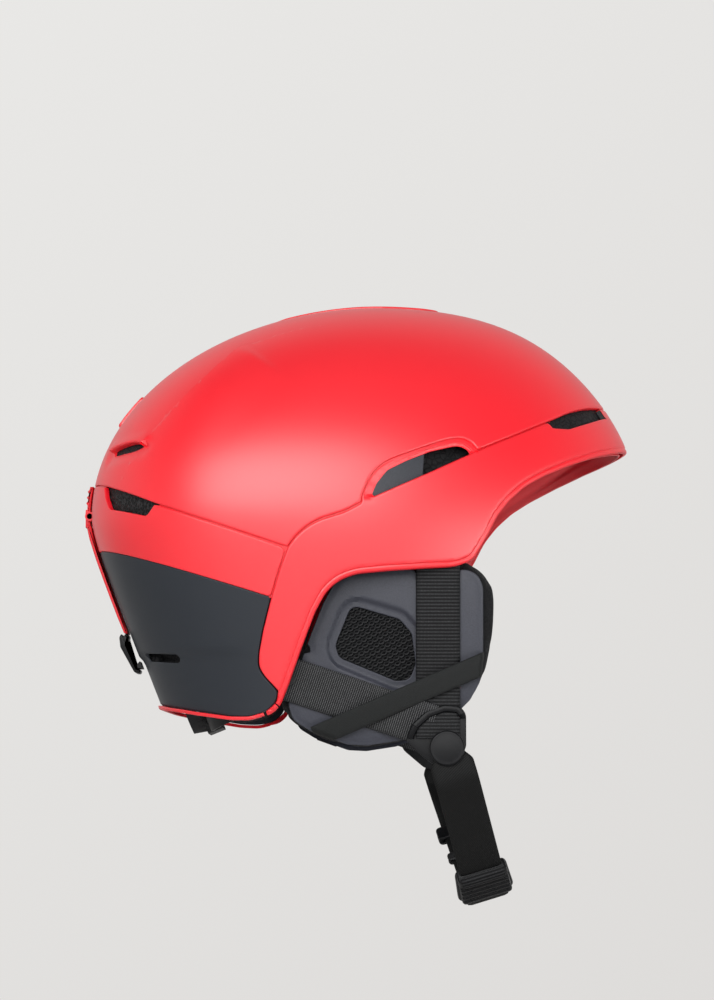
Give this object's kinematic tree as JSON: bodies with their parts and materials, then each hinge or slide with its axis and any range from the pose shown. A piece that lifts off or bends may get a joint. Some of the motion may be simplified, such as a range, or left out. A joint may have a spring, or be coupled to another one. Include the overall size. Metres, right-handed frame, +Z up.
{
  "type": "ski helmet",
  "caption": "Hard-shell ski helmet with brim, soft ear pieces, chin strap with buckle, crown vents with a slider, nape fit dial and a goggle strap retainer.",
  "frame": {"origin": "middle of the head space at brow level", "axes": "+X to the front (brim), +Z up, +Y to the wearer's left"},
  "size_m": [0.2838, 0.22, 0.3129],
  "materials": {
    "red_shell": "satin",
    "slate_shell": "matte",
    "slate_insert": "satin",
    "filter_foam": "open foam",
    "black_plastic": "fine grain",
    "black_foam": "beaded foam",
    "black_fabric": "brushed knit",
    "mesh_fabric": "open mesh",
    "webbing": "ribbed webbing",
    "elastic": "fine twill",
    "black_rubber": "matte",
    "red_rubber": "satin",
    "steel": "plain"
  },
  "bodies": {
    "helmet": {"crown_shell": "red_shell", "brow_side_shell": "red_shell", "rear_shell_band": "red_shell", "rear_lower_panel": "slate_shell", "rim_bead": "red_shell", "crown_strip": "red_shell", "temple_inserts": "slate_insert", "exhaust_filters": "filter_foam", "impact_liner": "black_foam", "brow_pad": "black_fabric", "crown_pad": "black_fabric", "left_side_pad": "black_fabric", "right_side_pad": "black_fabric", "nape_pad": "black_fabric", "dial_housing": "black_plastic", "dial_screws": "steel", "left_ear_cushion": "black_fabric", "right_ear_cushion": "black_fabric", "left_ear_frame": "slate_insert", "right_ear_frame": "slate_insert", "left_ear_mesh": "mesh_fabric", "right_ear_mesh": "mesh_fabric", "left_front_strap": "webbing", "right_front_strap": "webbing", "left_rear_strap": "webbing", "right_rear_strap": "webbing", "left_elastic_band": "elastic", "right_elastic_band": "elastic", "left_divider": "black_plastic", "right_divider": "black_plastic", "left_divider_button": "black_plastic", "right_divider_button": "black_plastic", "strap_rivets": "steel", "goggle_anchor": "red_rubber", "goggle_pin": "steel", "goggle_catch": "black_plastic"},
    "vent_slider": {"vent_knob": "red_shell", "vent_shutter": "black_plastic"},
    "dial": {"fit_dial": "black_rubber"},
    "left_arm": {"left_rack_arm": "black_plastic"},
    "right_arm": {"right_rack_arm": "black_plastic"},
    "chin_right": {"chin_strap_right": "webbing", "chin_tab_left": "webbing", "buckle_receiver": "black_plastic"},
    "chin_left": {"chin_strap_left": "webbing", "buckle_tongue": "black_plastic", "strap_adjuster": "black_plastic", "strap_keeper": "black_rubber"},
    "goggle_retainer": {"goggle_strap": "red_rubber", "goggle_hook": "black_plastic"}
  },
  "joints": [
    {"name": "vent_slide", "type": "hinge", "parent": "helmet", "child": "vent_slider", "pos_m": [-0.01678, 0, 0.00052], "axis": [0, 1, 0], "range_deg": [0, 6]},
    {"name": "dial_turn", "type": "hinge", "parent": "helmet", "child": "dial", "pos_m": [-0.0595, 0, -0.083], "axis": [-0.9272, 0, -0.3746], "range_deg": [-45, 45]},
    {"name": "left_arm_slide", "type": "slide", "parent": "helmet", "child": "left_arm", "axis": [0, 1, 0], "range_m": [-0.0048, 0.0048]},
    {"name": "right_arm_slide", "type": "slide", "parent": "helmet", "child": "right_arm", "axis": [0, 1, 0], "range_m": [-0.0048, 0.0048]},
    {"name": "chin_loop_swing", "type": "hinge", "parent": "helmet", "child": "chin_right", "pos_m": [0.0614, 0, -0.108], "axis": [0, 1, 0], "range_deg": [-25, 25]},
    {"name": "left_strap_open", "type": "hinge", "parent": "chin_right", "child": "chin_left", "pos_m": [0.0652, 0.08481, -0.12043], "axis": [0.9563, 0, 0.2924], "range_deg": [0, 35]},
    {"name": "goggle_strap_lift", "type": "hinge", "parent": "helmet", "child": "goggle_retainer", "pos_m": [-0.1226, 0, 0.014], "axis": [0, 1, 0], "range_deg": [0, 70]}
  ],
  "couplings": [
    {"joint": "left_arm_slide", "follows": "dial_turn", "m_per_rad": 0.006},
    {"joint": "right_arm_slide", "follows": "dial_turn", "m_per_rad": -0.006}
  ]
}
